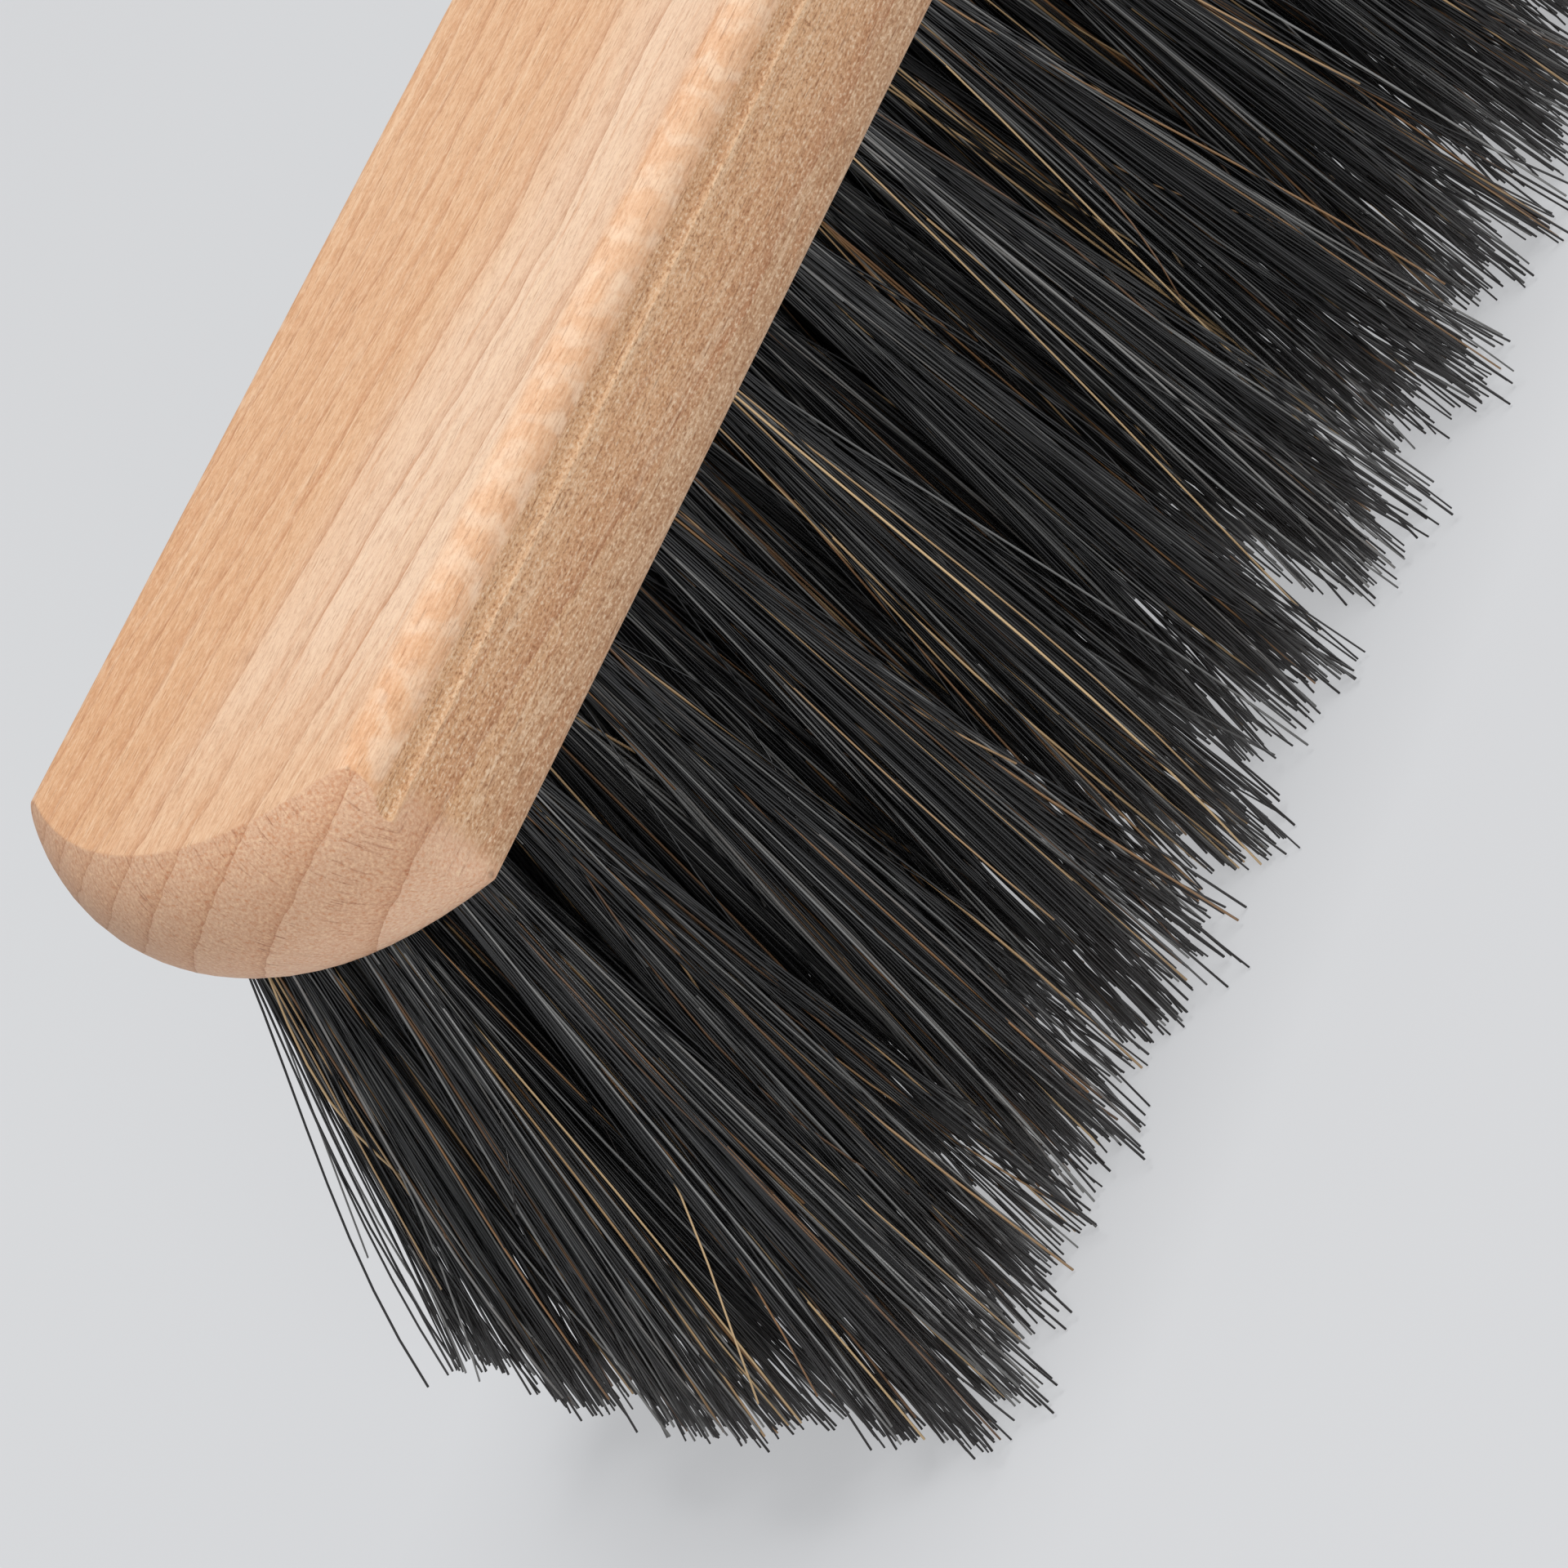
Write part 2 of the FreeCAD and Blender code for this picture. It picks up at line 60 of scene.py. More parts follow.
# Soft light from above the head, with a dim fill from the nose's side: place and size in metres, power in
# watts. The floor has a faint glow of its own, which keeps its shadows soft.
LIT_POINT = (NOSE + 60 * MM, 0, HEAD_TOP)
KEY_PLACE, KEY_SIZE, KEY_POWER = (0.06, 0.0, 1.0), 0.45, 7.4
FILL_PLACE, FILL_SIZE, FILL_POWER = (-0.57, -0.9, 0.36), 0.42, 4.2
ROOM_COLOUR = (0.92, 0.94, 0.97, 1)
ROOM_STRENGTH = 0.27
FLOOR_REACH = 6.0
FLOOR_GLOW_COLOUR = (0.9, 0.91, 0.93, 1)
FLOOR_GLOW = 0.46

# Hair: its thickness and count come from the close parts of the photograph.
HAIR_SEED = 40
HAIRS_PER_TUFT = 215
HAIR_RADIUS = 0.105 * MM
HAIR_SIDES = 4
HAIR_STEPS = 10
ROOT_DEPTH = 4 * MM
RAGGED = 1.1 * MM
SLANT_SPARE = 0.25 * RAGGED

# How hairs spread from their hole, against the CAD tuft's own widening along X and Y, and draw into clumps.
# Drifts are sideways travel per length, with a wider one for stray hairs.
BUNDLE_FILL = 0.96
SPREAD = 1.08
ROW_FAN = (0.86, 0.85)
NOSE_FAN = (1.0, 1.0)
CLUMPS = 30
GATHER = 0.62
CLUMP_DRIFT = 0.026
HAIR_DRIFT = 0.028
STRAY_SHARE = 0.055
STRAY_DRIFT = 0.07
STRAY_LIMIT = 0.1
STRAY_SHORTEST = 0.45
BOW = 0.9 * MM
STRAY_BOW = 1.7 * MM

# A hair's shade: black to grey up to the first value, the greys being painted sheen, brown to fair from the
# second to 1.
DARK_END = 0.84
FAIR_START = 0.87
FAIR_CLUMPS = 0.12
FAIR_IN_CLUMP = 0.24
FAIR_ELSEWHERE = 0.045
FAIR_STRAYS = 0.3

# The slanted cut across the nose tips: a point on it and the way its kept side faces.
END_BULGE = 3.3 * MM
TRIM_POINT = np.array((NOSE + END_BULGE + 0.8 * MM, 0, 0))
TRIM_SLOPE = math.radians(47.8)
TRIM_SKEW = math.radians(9.5)

# The wood in mm: the lean of its growth rings across the board, the ridge's depth under the top, where the
# rolled edge starts from the middle plane, and small dark marks at the nose's near corner with their reach.
RING_LEAN = (0.556, 0.831)
RIDGE_DEPTH = 4.9
ROLL_START = (17.6, 18.8)
CORNER_MARKS = (((-126.4, -20.2, 58.8), 0.8), ((-126.9, -19.5, 73.4), 0.6))

# Colours of the wood as seen on a screen, 0 to 255; some of them also carry painted light and shade.
WOOD = {
    "pale": (236, 203, 174),
    "warm": (223, 177, 138),
    "far_nose": (211, 155, 108),
    "flank": (222, 169, 120),
    "shaded_low_flank": (186, 144, 110),
    "end": (220, 177, 146),
    "floor_lit_low_end": (240, 198, 168),
    "late": (202, 144, 102),
    "ring_edge": (170, 112, 78),
    "dark_streak": (204, 147, 106),
    "pale_streak": (238, 204, 170),
    "roll": (224, 168, 122),
    "chatter_highlight": (246, 218, 190),
    "flute": (224, 176, 132),
    "ridge": (242, 208, 170),
    "pale_fleck": (248, 220, 188),
    "dark_fleck": (150, 98, 62),
    "pore": (146, 96, 64),
    "ray": (158, 104, 76),
    "mark": (112, 74, 52),
}


class Graph:
    """Short calls for building a material's nodes."""

    def __init__(self, name):
        self.material = bpy.data.materials.new(name)
        self.material.use_nodes = True
        self.tree = self.material.node_tree
        self.shader = self.tree.nodes["Principled BSDF"]

    def node(self, kind, inputs=(), **settings):
        made = self.tree.nodes.new("ShaderNode" + kind)
        for name, value in settings.items():
            setattr(made, name, value)
        for key, value in dict(inputs).items():
            self.feed(made.inputs[key], value)
        return made

    def feed(self, socket, value):
        """Link a socket to another, or set its own value."""
        if isinstance(value, bpy.types.NodeSocket):
            self.tree.links.new(value, socket)
        else:
            socket.default_value = value

    def shade(self, **inputs):
        """Set or link the shader's sockets, with _ for the blanks in their names."""
        for name, value in inputs.items():
            self.feed(self.shader.inputs[name.replace("_", " ")], value)

    def math(self, operation, *values):
        return self.node("Math", dict(enumerate(values)), operation=operation).outputs[0]

    def product(self, first, *others):
        """Product of values and numbers."""
        for other in others:
            first = self.math("MULTIPLY", first, other)
        return first

    def line(self, value, slope, start):
        """A value times a slope, plus a start."""
        return self.math("MULTIPLY_ADD", value, slope, start)

    def stretch(self, vector, scale):
        """Scale a position along each axis."""
        return self.node("Mapping", {"Vector": vector, "Scale": scale}).outputs[0]

    def vector(self, x, y, z):
        return self.node("CombineXYZ", {"X": x, "Y": y, "Z": z}).outputs[0]

    def split(self, vector):
        return self.node("SeparateXYZ", {"Vector": vector}).outputs

    def noise(self, vector, scale, detail=2.0, roughness=0.5, offset=0.0):
        inputs = {"Vector": vector, "W": offset, "Scale": scale, "Detail": detail, "Roughness": roughness}
        return self.node("TexNoise", inputs, noise_dimensions="4D").outputs["Fac"]

    def swing(self, vector, detail, size):
        """Noise about zero, of a given size."""
        return self.math("MULTIPLY", self.math("SUBTRACT", self.noise(vector, 1, detail), 0.5), size)

    def span(self, value, low, high, new_low=0.0, new_high=1.0):
        """Map a range smoothly to another, held at both ends."""
        inputs = {"Value": value, "From Min": low, "From Max": high, "To Min": new_low, "To Max": new_high}
        return self.node("MapRange", inputs, interpolation_type="SMOOTHSTEP").outputs[0]

    def mix(self, share, first, second, blend="MIX"):
        """Mix two colours."""
        made = self.node("Mix", data_type="RGBA", blend_type=blend)
        for index, value in ((0, share), (6, first), (7, second)):
            self.feed(made.inputs[index], value)
        return made.outputs[2]

    def tint(self, tone, rgb, *shares):
        """Mix a screen colour into a tone, by the product of some shares."""
        return self.mix(self.product(*shares), tone, (*linear(rgb), 1))

    def ramp(self, value, stops):
        """Colours along a value, from (place, screen colour) pairs."""
        made = self.node("ValToRGB", {"Fac": value})
        elements = made.color_ramp.elements
        while len(elements) < len(stops):
            elements.new(1.0)
        for element, (place, rgb) in zip(elements, stops):
            element.position = place
            element.color = (*linear(rgb), 1)
        return made.outputs["Color"]

    def bump(self, height, distance, strength, normal):
        inputs = {"Height": height, "Distance": distance, "Strength": strength, "Normal": normal}
        return self.node("Bump", inputs).outputs["Normal"]


def linear(rgb):
    """A colour as seen on a screen, 0 to 255, in Blender's linear values."""
    shares = [value / 255 for value in rgb]
    return tuple(share / 12.92 if share <= 0.04045 else ((share + 0.055) / 1.055) ** 2.4 for share in shares)


def wood_board(g):
    """Places and zones on the board in mm: below the top, behind the nose, end grain and rough flanks."""
    p = g.stretch(g.node("TexCoord").outputs["Object"], (1000, 1000, 1000))
    x, y, z = g.split(p)
    depth = g.math("SUBTRACT", z, HEAD_TOP / MM)
    behind = g.math("SUBTRACT", x, NOSE / MM)
    sanded = g.span(depth, -6.5, -10, 0.35 * MM, 2.8 * MM)
    normal = g.node("Bevel", {"Radius": sanded}, samples=6).outputs["Normal"]
    nx, ny = g.split(normal)[:2]
    rim = g.product(g.span(behind, 12.4, 9.4), g.span(depth, -4.6, -5.4))
    end = g.math("MAXIMUM", g.span(g.math("ABSOLUTE", nx), 0.2, 0.6), rim)
    grain = g.math("SUBTRACT", 1, end)
    flank = g.product(g.span(g.math("ABSOLUTE", ny), 0.55, 0.9), g.span(depth, -2.6, -3.3), grain)
    return SimpleNamespace(p=p, x=x, y=y, depth=depth, behind=behind, normal=normal, end=end, grain=grain,
                           flank=flank)


def add_rings(g, board):
    """Growth rings lie slanted in the board, drift along it and get narrower towards the far side."""
    level = g.line(board.y, RING_LEAN[0], g.math("MULTIPLY", board.depth, RING_LEAN[1]))
    level = g.line(g.math("MINIMUM", board.behind, 60), 0.065, level)
    sway = g.swing(g.stretch(board.p, (0.02, 0.06, 0.06)), 3, 2.6)
    ripple = g.swing(g.stretch(board.p, (0.2, 0.6, 0.6)), 2, 0.6)
    board.level = g.math("ADD", level, g.math("ADD", sway, ripple))
    count = g.math("MULTIPLY", g.math("EXPONENT", g.math("MULTIPLY", board.level, 0.047)), 6.53)
    board.late = g.math("SUBTRACT", 1, g.math("FRACT", g.math("SUBTRACT", count, 0.83)))


def wood_base(g, board):
    """Warm towards the far side and the nose, paler between, tan on the flanks, pinkish on the end grain."""
    # the warmer, darker far side of the top is partly the wood's own tone and partly painted shade where the
    # lamps' sheen falls off
    cloud = g.noise(g.stretch(board.p, (0.025, 0.15, 0.15)), 1, 3)
    warm = g.span(g.line(g.math("SUBTRACT", cloud, 0.5), 6, board.level), -2.5, 4.0)
    warm = g.math("MAXIMUM", warm, g.span(board.behind, 26, 6, 0.0, 0.8))
    tone = g.tint((*linear(WOOD["pale"]), 1), WOOD["warm"], warm)
    tone = g.tint(tone, WOOD["far_nose"], g.span(board.level, 0.0, 8.0), g.span(board.behind, 70, 10), 0.4)
    # the flanks' tan is partly the rougher sanded wood and partly painted shade of sides lit less than the
    # top
    tone = g.tint(tone, WOOD["flank"], board.flank, 0.8)
    # painted shade: the flanks darken towards the underside
    tone = g.tint(tone, WOOD["shaded_low_flank"], g.span(board.depth, -8, -15), board.flank, 0.8)
    tone = g.tint(tone, WOOD["end"], board.end, 0.9)
    # painted light: the end grain is paler towards the bottom, standing for light thrown up from the floor
    tone = g.tint(tone, WOOD["floor_lit_low_end"], g.span(board.depth, -7, -15), board.end, 0.7)

    # late wood darkens on one side of each ring's edge
    tone = g.tint(tone, WOOD["late"], g.math("POWER", board.late, 2.2), g.line(board.flank, 0.2, 0.34))
    return g.tint(tone, WOOD["ring_edge"], g.math("POWER", board.late, 18), g.line(board.end, -0.05, 0.5))


def add_streaks(g, board, tone):
    """Long soft streaks along the grain, dark and pale."""
    lane = g.vector(board.level, g.math("MULTIPLY", board.x, 0.03), g.math("MULTIPLY", board.depth, 0.1))
    streak = g.noise(lane, 1.8, 4, 0.62)
    along = g.product(board.grain, g.line(board.flank, 0.1, 0.55))
    tone = g.tint(tone, WOOD["dark_streak"], g.span(streak, 0.5, 0.68), along)
    return g.tint(tone, WOOD["pale_streak"], g.span(streak, 0.5, 0.3), along)


def add_moulding(g, board, tone):
    """The rolled edge is warmer, with painted highlights as pale patches on the cutter's chatter, and a
    painted bright ridge line.
    """
    outside = g.span(g.math("ABSOLUTE", board.y), *ROLL_START)
    roll = g.product(g.span(board.depth, -3.4, -2.7), outside, board.grain)
    tone = g.tint(tone, WOOD["roll"], roll, 0.6)
    # painted highlight: pale patches along the rolled edge, spaced like the chatter the cutter left
    drift = g.noise(g.stretch(board.p, (0.12, 0.2, 0.2)), 1, 2, 0.5, 5.0)
    beat = g.line(drift, 22, g.math("MULTIPLY", board.x, 1.4))
    blob = g.line(g.math("SINE", beat), 0.16, g.noise(board.p, 0.55, 3, 0.6, 2.0))
    tone = g.tint(tone, WOOD["chatter_highlight"], g.span(blob, 0.42, 0.78), roll, 0.48)
    tone = g.tint(tone, WOOD["flute"], g.span(board.depth, -5.1, -4.6), board.flank, 0.5)
    # painted highlight: a bright, slightly jagged line along the ridge's sharp edge
    jag = g.math("ADD", g.swing(g.stretch(board.p, (0.8, 2, 2)), 2, 1.0), board.depth)
    ridge = g.span(g.math("ABSOLUTE", g.math("ADD", jag, RIDGE_DEPTH)), 0.4, 0.0)
    return g.tint(tone, WOOD["ridge"], ridge, board.flank, 0.35)


def add_fibres(g, board, tone):
    """Flecks of the sanded fibres, short and strong on the rough flanks, and sparse fine pores."""
    board.fibre = g.noise(g.stretch(board.p, (0.6, 6.0, 6.0)), 1, 2, 0.6)
    board.fleck = g.noise(g.stretch(board.p, (2.6, 4.6, 4.6)), 1, 3, 0.62)
    rough = g.product(board.grain, g.line(board.flank, 0.56, 0.2))
    fine = g.product(board.grain, 0.28)
    for grainy, share in ((board.fleck, rough), (board.fibre, fine)):
        tone = g.tint(tone, WOOD["pale_fleck"], g.span(grainy, 0.5, 0.68), share)
        tone = g.tint(tone, WOOD["dark_fleck"], g.span(grainy, 0.5, 0.32), share)
    board.pore = g.span(g.noise(g.stretch(board.p, (0.35, 5.0, 5.0)), 1, 1, 0.5, 3.0), 0.64, 0.74)
    return g.tint(tone, WOOD["pore"], board.pore, board.grain, g.line(board.flank, 0.25, 0.28))


def add_end_grain(g, board, tone):
    """Fine rays on the end grain, square to the rings, its speckle, and marks at the nose's corner."""
    across = g.line(board.y, RING_LEAN[1], g.math("MULTIPLY", board.depth, -RING_LEAN[0]))
    spoke = g.vector(across, g.math("MULTIPLY", board.level, 0.07), g.math("MULTIPLY", board.x, 0.07))
    ray = g.span(g.noise(spoke, 4.4, 3, 0.65), 0.54, 0.7)
    patch = g.span(g.noise(board.p, 0.2, 2, 0.5, 8.0), 0.36, 0.62, 0.25, 1.0)
    tone = g.tint(tone, WOOD["ray"], ray, patch, board.end, 0.75)
    board.mottle = g.noise(board.p, 3.6, 3, 0.65)
    speckle = g.ramp(board.mottle, ((0.32, (140, 104, 80)), (0.5, (188, 188, 188)), (0.68, (252, 240, 226))))
    tone = g.mix(g.line(board.end, 0.65, 0.1), tone, speckle, "SOFT_LIGHT")
    for point, reach in CORNER_MARKS:
        away = g.node("VectorMath", {0: board.p, 1: point}, operation="DISTANCE").outputs["Value"]
        away = g.math("ADD", away, g.math("MULTIPLY", board.mottle, 0.5))
        tone = g.tint(tone, WOOD["mark"], g.span(away, reach, 0.2), 0.6)
    return tone


def wood_material():
    """Sanded beech: slanted growth rings, fine dashes along the grain, end grain and rougher sides."""
    g = Graph("beech")
    board = wood_board(g)
    add_rings(g, board)
    tone = wood_base(g, board)
    for add in (add_streaks, add_moulding, add_fibres, add_end_grain):
        tone = add(g, board, tone)
    height = g.line(board.fleck, g.line(board.flank, 0.9, 0.1), g.math("MULTIPLY", board.fibre, 0.25))
    height = g.math("ADD", height, g.product(board.mottle, g.line(board.flank, 0.4, 0.2)))
    height = g.math("SUBTRACT", height, g.math("MULTIPLY", board.pore, 0.4))
    g.shade(Base_Color=tone, Roughness=g.span(board.mottle, 0.2, 0.8, 0.52, 0.68), Specular_IOR_Level=0.3,
            Normal=g.bump(height, 0.16 * MM, 0.6, board.normal))
    return g.material


def hair_material():
    """Black horse hair, greys of painted sheen, some brown and fair hairs, and a gloss that differs from
    hair to hair.
    """
    g = Graph("horse_hair")
    shade = g.node("Attribute", attribute_name="shade").outputs["Fac"]
    along = g.node("Attribute", attribute_name="along").outputs["Fac"]
    mottle = g.noise(g.node("TexCoord").outputs["Object"], 240, 2)
    # painted sheen: the greys up to 0.82 stand for the shine along black hairs
    tone = g.ramp(shade, (
        (0.0, (3, 3, 4)), (0.5, (8, 8, 9)), (0.68, (30, 30, 31)), (0.82, (150, 150, 148)),
        (0.86, (80, 60, 46)), (0.92, (158, 116, 76)), (1.0, (236, 202, 152))))
    tone = g.tint(tone, (70, 48, 34), g.span(along, 0.7, 1.0), 0.12)
    tone = g.tint(tone, (12, 11, 12), mottle, 0.25)
    gloss = g.math("FRACT", g.math("MULTIPLY", shade, 23))
    g.shade(Base_Color=tone, Roughness=g.span(gloss, 0.0, 1.0, 0.14, 0.5), Specular_IOR_Level=0.8)
    return g.material


def wire_material():
    """Bright drawn steel wire."""
    g = Graph("anchor_wire")
    drawn = g.noise(g.stretch(g.node("TexCoord").outputs["Object"], (300, 6000, 6000)), 1, 3)
    tone = g.ramp(drawn, ((0.25, (150, 150, 152)), (0.75, (205, 206, 208))))
    g.shade(Base_Color=tone, Metallic=1.0, Roughness=g.span(drawn, 0.2, 0.8, 0.25, 0.45))
    return g.material


def tuft_cone(node):
    """Where a tuft leaves the head, the way it points, and its widening per length, from its CAD solid."""
    points = np.array([vertex.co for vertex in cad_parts[node].data.vertices])
    points = np.unique(np.round(points, 7), axis=0)
    root = points[points[:, 2] > UNDERSIDE + 4 * MM].mean(axis=0)
    collar = points[abs(points[:, 2] - UNDERSIDE) < 3 * MM].mean(axis=0)
    axis = (collar - root) / np.linalg.norm(collar - root)
    mouth = root + axis * (UNDERSIDE - root[2]) / axis[2]
    lengths = (points - mouth) @ axis
    reaches = np.linalg.norm(points - mouth - np.outer(lengths, axis), axis=1)
    far = lengths.argmax()
    radius = reaches[lengths < 0].max()
    return mouth, axis, radius, (reaches[far] - radius) / lengths[far]


def cut_lengths(starts, ways, slanted):
    """Distance from each start to the level of the tips, or to the slanted cut if that comes first."""
    lengths = -starts[:, 2] / ways[:, 2]
    if slanted:
        normal = np.array((math.sin(TRIM_SLOPE) * math.cos(TRIM_SKEW), -math.sin(TRIM_SKEW),
                           math.cos(TRIM_SLOPE) * math.cos(TRIM_SKEW)))
        slant = ((TRIM_POINT - starts) @ normal) / (ways @ normal)
        lengths = np.where(slant > 0, np.minimum(lengths, slant + SLANT_SPARE), lengths)
    return lengths


def hair_lines(node, random):
    """Centre lines of one tuft's hairs, as hair by step by coordinate, with a shade for each hair."""
    mouth, axis, radius, widening = tuft_cone(node)
    slanted = "nose" in node or node.endswith("outer_01")
    count = HAIRS_PER_TUFT
    angles = random.uniform(0, 2 * math.pi, count)
    spots = (radius - HAIR_RADIUS) * BUNDLE_FILL * np.sqrt(random.uniform(0, 1, count))
    offsets = np.stack((spots * np.cos(angles), spots * np.sin(angles), np.zeros(count)), axis=1)
    offsets -= np.outer(offsets @ axis, axis)

    # hairs lean outwards with their place in the bundle, and their tips draw together into clumps
    fan = np.array((*(NOSE_FAN if "nose" in node else ROW_FAN), 1)) * widening / radius * SPREAD
    heads = offsets[random.choice(count, CLUMPS, replace=False)]
    nearest = np.linalg.norm(offsets[:, None] - heads[None], axis=2).argmin(axis=1)
    drift = random.normal(0, CLUMP_DRIFT, (CLUMPS, 3))[nearest]
    loose = random.normal(0, HAIR_DRIFT, (count, 3))
    strays = random.uniform(0, 1, count) < STRAY_SHARE
    astray = random.normal(0, STRAY_DRIFT, (strays.sum(), 3))
    loose[strays] += np.clip(astray, -STRAY_LIMIT, STRAY_LIMIT)
    leaning = offsets * fan + drift + loose
    gathered = leaning + (heads[nearest] * fan + drift - leaning) * np.where(strays, 0, GATHER)[:, None]

    starts = mouth + offsets
    lengths = cut_lengths(starts, axis + gathered, slanted) - abs(random.normal(0, RAGGED, count))
    lengths[strays] *= random.uniform(STRAY_SHORTEST, 1, strays.sum())
    share = np.linspace(0, 1, HAIR_STEPS)[None, :, None]
    aside = leaning[:, None] + (gathered - leaning)[:, None] * share ** 2
    lines = starts[:, None] + (axis * share + aside * share * (0.55 + 0.45 * share)) * lengths[:, None, None]

    # each hair bows a little to one side, most in the middle
    bow = random.normal(0, 1, (count, 3)) * np.where(strays, STRAY_BOW, BOW)[:, None]
    bow -= np.outer(bow @ axis, axis)
    waves = np.sin(share * math.pi * random.uniform(0.7, 1.3, (count, 1, 1)))
    lines = lines + bow[:, None] * waves * share ** 0.5
    lines[:, :, 2] = np.maximum(lines[:, :, 2], HAIR_RADIUS)
    buried = starts - axis * ROOT_DEPTH
    return np.concatenate((buried[:, None], lines), axis=1), axis, hair_shades(nearest, strays, random)


def hair_shades(nearest, strays, random):
    """Most hairs are black to grey, the greys painted sheen, and some clumps hold many brown and fair ones.
    """
    count = len(nearest)
    shades = random.uniform(0, DARK_END, count)
    fair_clumps = random.uniform(0, 1, CLUMPS) < FAIR_CLUMPS
    fair = random.uniform(0, 1, count) < np.where(fair_clumps[nearest], FAIR_IN_CLUMP, FAIR_ELSEWHERE)
    fair |= strays & (random.uniform(0, 1, count) < FAIR_STRAYS)
    shades[fair] = random.uniform(FAIR_START, 1, fair.sum())
    return shades


def hair_mesh(name, lines, axis, shades, random):
    """Thin closed tubes along the centre lines, each with its shade and its place from root to tip."""
    count, steps = lines.shape[:2]
    side = np.cross(axis, (0, 1, 0))
    side /= np.linalg.norm(side)
    turns = np.arange(HAIR_SIDES) * 2 * math.pi / HAIR_SIDES
    ring = np.outer(np.cos(turns), side) + np.outer(np.sin(turns), np.cross(axis, side))
    thickness = HAIR_RADIUS * random.uniform(0.8, 1.2, (count, 1, 1, 1))
    points = lines[:, :, None] + ring[None, None] * thickness
    number = np.arange(count * steps * HAIR_SIDES).reshape(count, steps, HAIR_SIDES)
    after = np.roll(number, -1, axis=2)
    walls = np.stack((number[:, :-1], after[:, :-1], after[:, 1:], number[:, 1:]), axis=-1).reshape(-1, 4)
    caps = np.concatenate((number[:, 0, ::-1], number[:, -1]))

    mesh = bpy.data.meshes.new(name)
    mesh.from_pydata(points.reshape(-1, 3).tolist(), [], walls.tolist() + caps.tolist())
    mesh.shade_smooth()
    add_uv(mesh, count, steps)
    add_attribute(mesh, "shade", np.repeat(shades, steps * HAIR_SIDES))
    add_attribute(mesh, "along", np.tile(np.repeat(np.linspace(0, 1, steps), HAIR_SIDES), count))
    return mesh


def add_uv(mesh, count, steps):
    """Lay each hair out as a narrow column, root at the bottom, with a gap of a fifth between columns."""
    numbers = np.arange(count), np.arange(steps - 1), np.arange(HAIR_SIDES)
    hair, step, side = np.meshgrid(*numbers, indexing="ij")
    left = (hair + 0.1 + 0.8 * side / HAIR_SIDES) / count
    right = left + 0.8 / HAIR_SIDES / count
    low, high = step / (steps - 1), (step + 1) / (steps - 1)
    walls = np.stack((left, low, right, low, right, high, left, high), axis=-1).reshape(-1, 2)
    roots, tips = [np.stack((left[:, 0], np.full(left[:, 0].shape, place)), axis=-1) for place in (0.0, 1.0)]
    corners = np.concatenate((walls, roots[:, ::-1].reshape(-1, 2), tips.reshape(-1, 2)))
    layer = mesh.uv_layers.new(name="OFBake")
    layer.data.foreach_set("uv", corners.astype(np.float32).ravel())


def add_attribute(mesh, name, values):
    attribute = mesh.attributes.new(name, "FLOAT", "POINT")
    attribute.data.foreach_set("value", values.astype(np.float32))


def make_tufts():
    """A bundle of hairs in place of each plain CAD tuft."""
    material = hair_material()
    random = np.random.default_rng(HAIR_SEED)
    for node in sorted(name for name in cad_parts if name.startswith("tuft_")):
        lines, axis, shades = hair_lines(node, random)
        mesh = hair_mesh("hair_" + node.removeprefix("tuft_"), lines, axis, shades, random)
        mesh.materials.append(material)
        tuft = bpy.data.objects.new(mesh.name, mesh)
        bpy.context.scene.collection.objects.link(tuft)
        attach(tuft, "root")
        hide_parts(node)


def dress(node, material):
    """Give a CAD node a material of its own."""
    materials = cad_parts[node].data.materials
    materials.clear()
    materials.append(material)


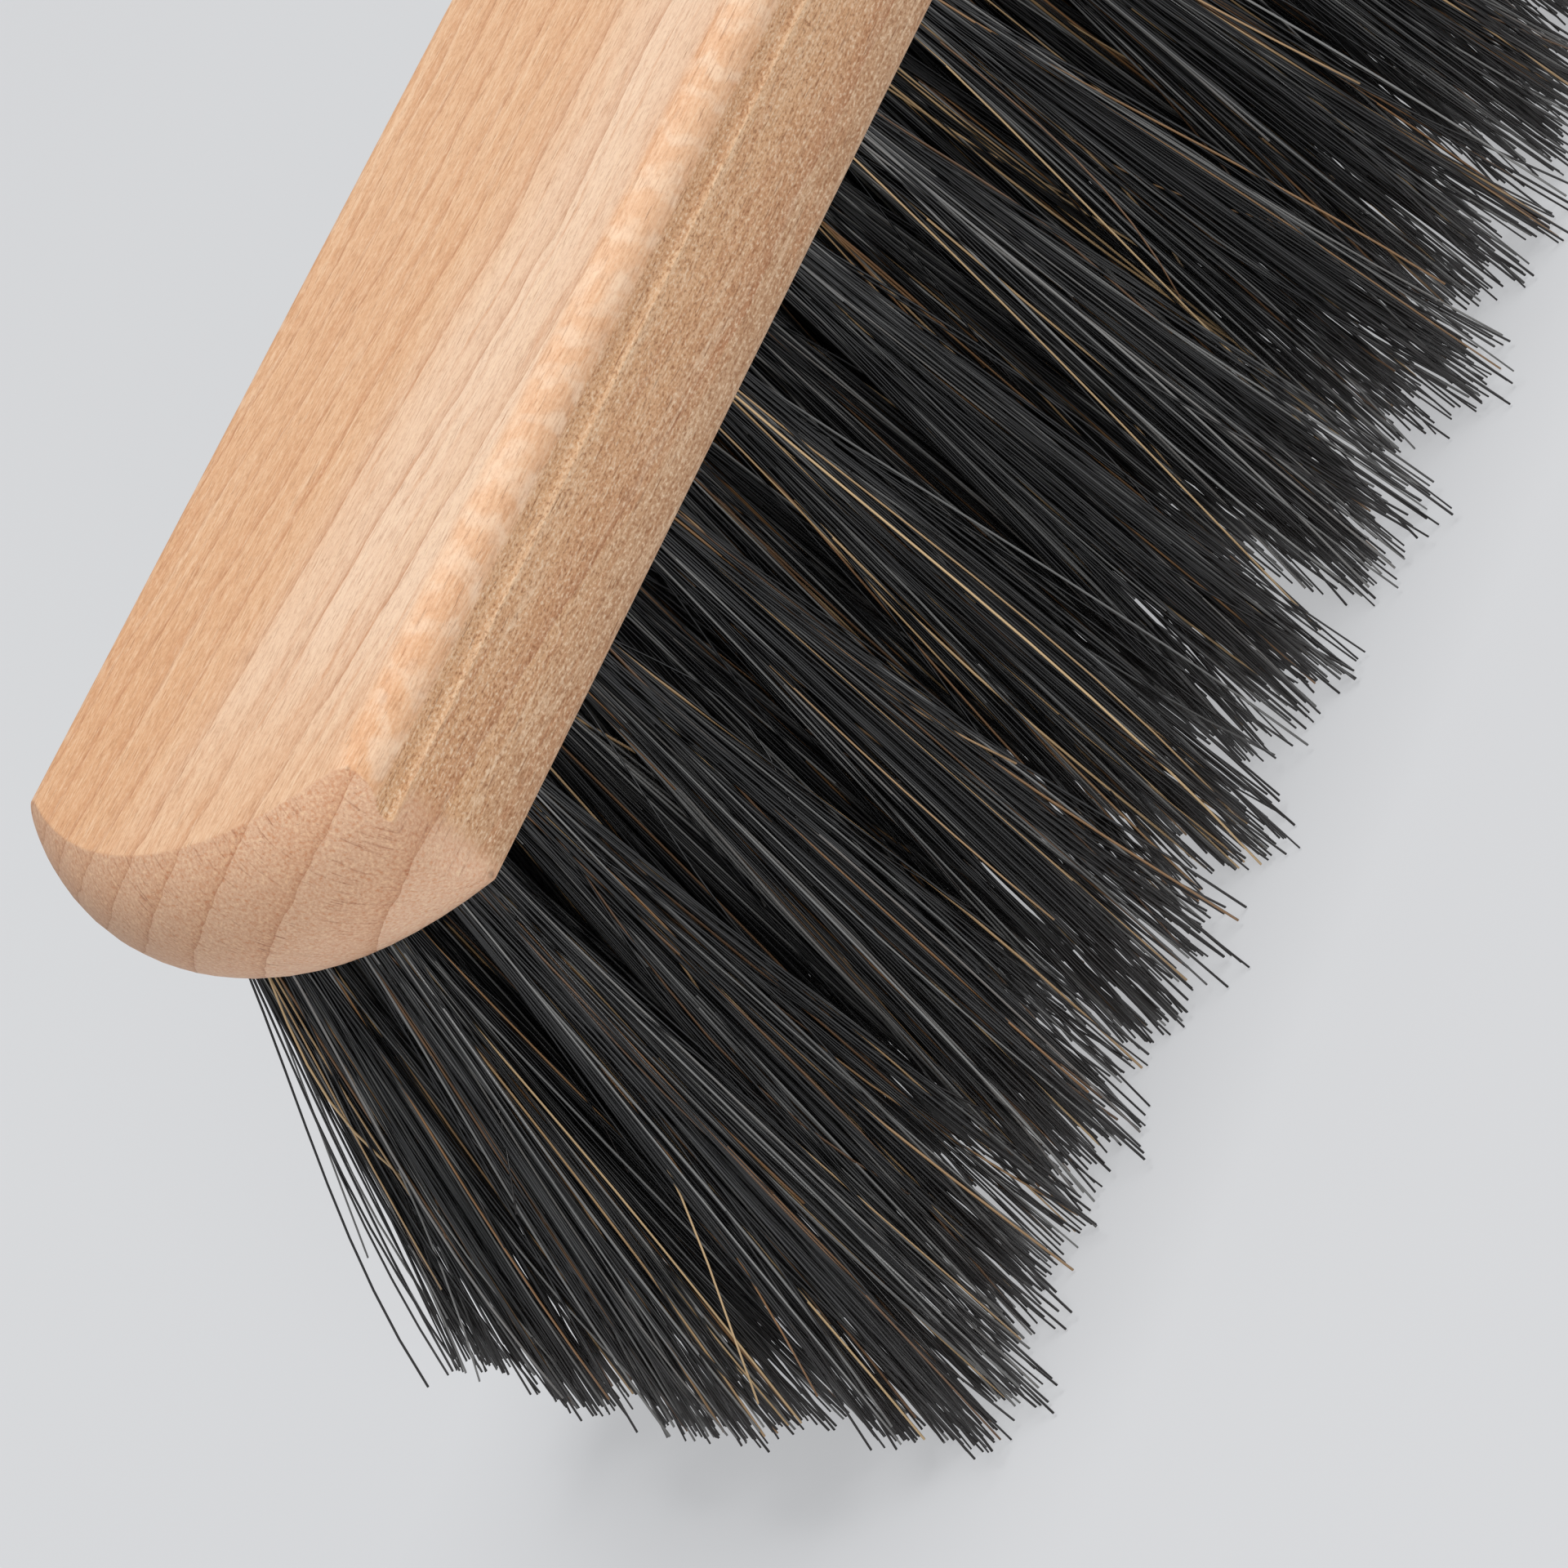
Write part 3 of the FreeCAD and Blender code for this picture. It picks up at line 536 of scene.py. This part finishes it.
def make_camera():
    camera = bpy.data.objects.new("camera", bpy.data.cameras.new("camera"))
    towards = Vector((math.sin(CAMERA_AZIMUTH) * math.cos(CAMERA_ELEVATION),
                      -math.cos(CAMERA_AZIMUTH) * math.cos(CAMERA_ELEVATION), math.sin(CAMERA_ELEVATION)))
    level = Vector((0, 0, 1)).cross(towards).normalized()
    right = Matrix.Rotation(CAMERA_ROLL, 3, towards) @ level
    up = towards.cross(right)
    camera.matrix_world = Matrix.Translation(CAMERA_AIM + towards * CAMERA_DISTANCE) @ Matrix(
        (right, up, towards)).transposed().to_4x4()
    camera.data.lens = CAMERA_LENS
    camera.data.clip_start = 0.01
    bpy.context.scene.collection.objects.link(camera)
    bpy.context.scene.camera = camera


def add_light(name, place, size, power):
    """A square soft light that faces the head."""
    light = bpy.data.lights.new(name, "AREA")
    light.size = size
    light.energy = power
    lamp = bpy.data.objects.new(name, light)
    lamp.location = place
    lamp.rotation_euler = (Vector(LIT_POINT) - Vector(place)).to_track_quat("-Z", "Y").to_euler()
    bpy.context.scene.collection.objects.link(lamp)


def make_floor():
    """A wide pale floor that the tips stand on."""
    g = Graph("pale_floor")
    grain = g.noise(g.node("TexCoord").outputs["Object"], 3, 3)
    tone = g.ramp(grain, ((0.3, (138, 139, 141)), (0.7, (144, 145, 146))))
    g.shade(Base_Color=tone, Roughness=0.8, Specular_IOR_Level=0.1, Emission_Color=FLOOR_GLOW_COLOUR,
            Emission_Strength=FLOOR_GLOW)
    mesh = bpy.data.meshes.new("floor")
    corners = [(x * FLOOR_REACH, y * FLOOR_REACH, 0) for x, y in ((-1, -1), (1, -1), (1, 1), (-1, 1))]
    mesh.from_pydata(corners, [], [(0, 1, 2, 3)])
    mesh.materials.append(g.material)
    floor = bpy.data.objects.new("floor", mesh)
    bpy.context.scene.collection.objects.link(floor)


def make_light():
    world = bpy.data.worlds.new("room")
    world.use_nodes = True
    background = world.node_tree.nodes["Background"].inputs
    background["Color"].default_value = ROOM_COLOUR
    background["Strength"].default_value = ROOM_STRENGTH
    bpy.context.scene.world = world
    add_light("key", KEY_PLACE, KEY_SIZE, KEY_POWER)
    add_light("fill", FILL_PLACE, FILL_SIZE, FILL_POWER)
    bpy.context.scene.view_settings.view_transform = "Standard"


make_camera()
dress("wood_body", wood_material())
dress("wire_anchors", wire_material())
make_tufts()
make_floor()
make_light()
